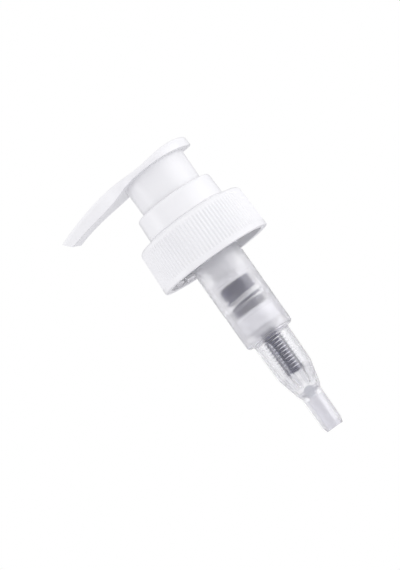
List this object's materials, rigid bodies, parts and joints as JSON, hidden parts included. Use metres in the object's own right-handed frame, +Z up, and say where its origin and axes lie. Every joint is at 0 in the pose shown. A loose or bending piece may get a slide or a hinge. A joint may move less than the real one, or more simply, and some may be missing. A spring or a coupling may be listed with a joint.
{
  "type": "lotion dispenser pump",
  "caption": "Press-down lotion dispenser pump with a leaf-shaped spout head, twist-lock collar, ribbed screw closure and a translucent sprung barrel with a dip tube socket.",
  "frame": {"origin": "on the pump's axis, in the plane of the bottle's rim (the underside of the neck gasket)", "axes": "+Z up the pump's axis towards the head, the spout points to -X, +Y completes the right-handed frame"},
  "size_m": [0.0553, 0.038, 0.1001],
  "materials": {
    "head_plastic": "satin-gloss white polypropylene",
    "collar_plastic": "satin-gloss white polypropylene",
    "closure_plastic": "satin-gloss white polypropylene, ribbed",
    "barrel_plastic": "frosted translucent natural polypropylene",
    "guide_plastic": "natural white polypropylene",
    "stem_plastic": "natural white polypropylene",
    "piston_plastic": "natural translucent polyethylene",
    "seal_rubber": "soft white elastomer",
    "gasket_foam": "white foamed polyethylene",
    "spring_steel": "stainless spring wire",
    "ball_glass": "clear glass"
  },
  "bodies": {
    "housing": {"pump_housing": "barrel_plastic", "locking_collar": "collar_plastic", "inner_plug": "guide_plastic", "stem_seal": "seal_rubber", "neck_gasket": "gasket_foam"},
    "closure": {"closure": "closure_plastic"},
    "stem": {"stem": "stem_plastic", "piston_shaft": "stem_plastic", "piston_spring": "spring_steel", "return_spring": "spring_steel"},
    "head": {"actuator_cover": "head_plastic", "actuator_body": "head_plastic"},
    "piston": {"piston": "piston_plastic"},
    "ball": {"check_ball": "ball_glass"}
  },
  "joints": [
    {"name": "closure_spin", "type": "hinge", "parent": "housing", "child": "closure", "pos_m": [0, 0, 0], "axis": [0, 0, 1], "continuous": true},
    {"name": "pump_stroke", "type": "slide", "parent": "housing", "child": "stem", "axis": [0, 0, 1], "range_m": [0, 0.0165], "deforming": ["return_spring"]},
    {"name": "head_twist", "type": "hinge", "parent": "stem", "child": "head", "pos_m": [0, 0, 0], "axis": [0, 0, 1], "range_deg": [-60, 0]},
    {"name": "piston_lift", "type": "slide", "parent": "stem", "child": "piston", "axis": [0, 0, 1], "range_m": [0, 0.0012], "deforming": ["piston_spring"]},
    {"name": "ball_lift", "type": "slide", "parent": "housing", "child": "ball", "axis": [0, 0, 1], "range_m": [0, 0.0015]}
  ]
}
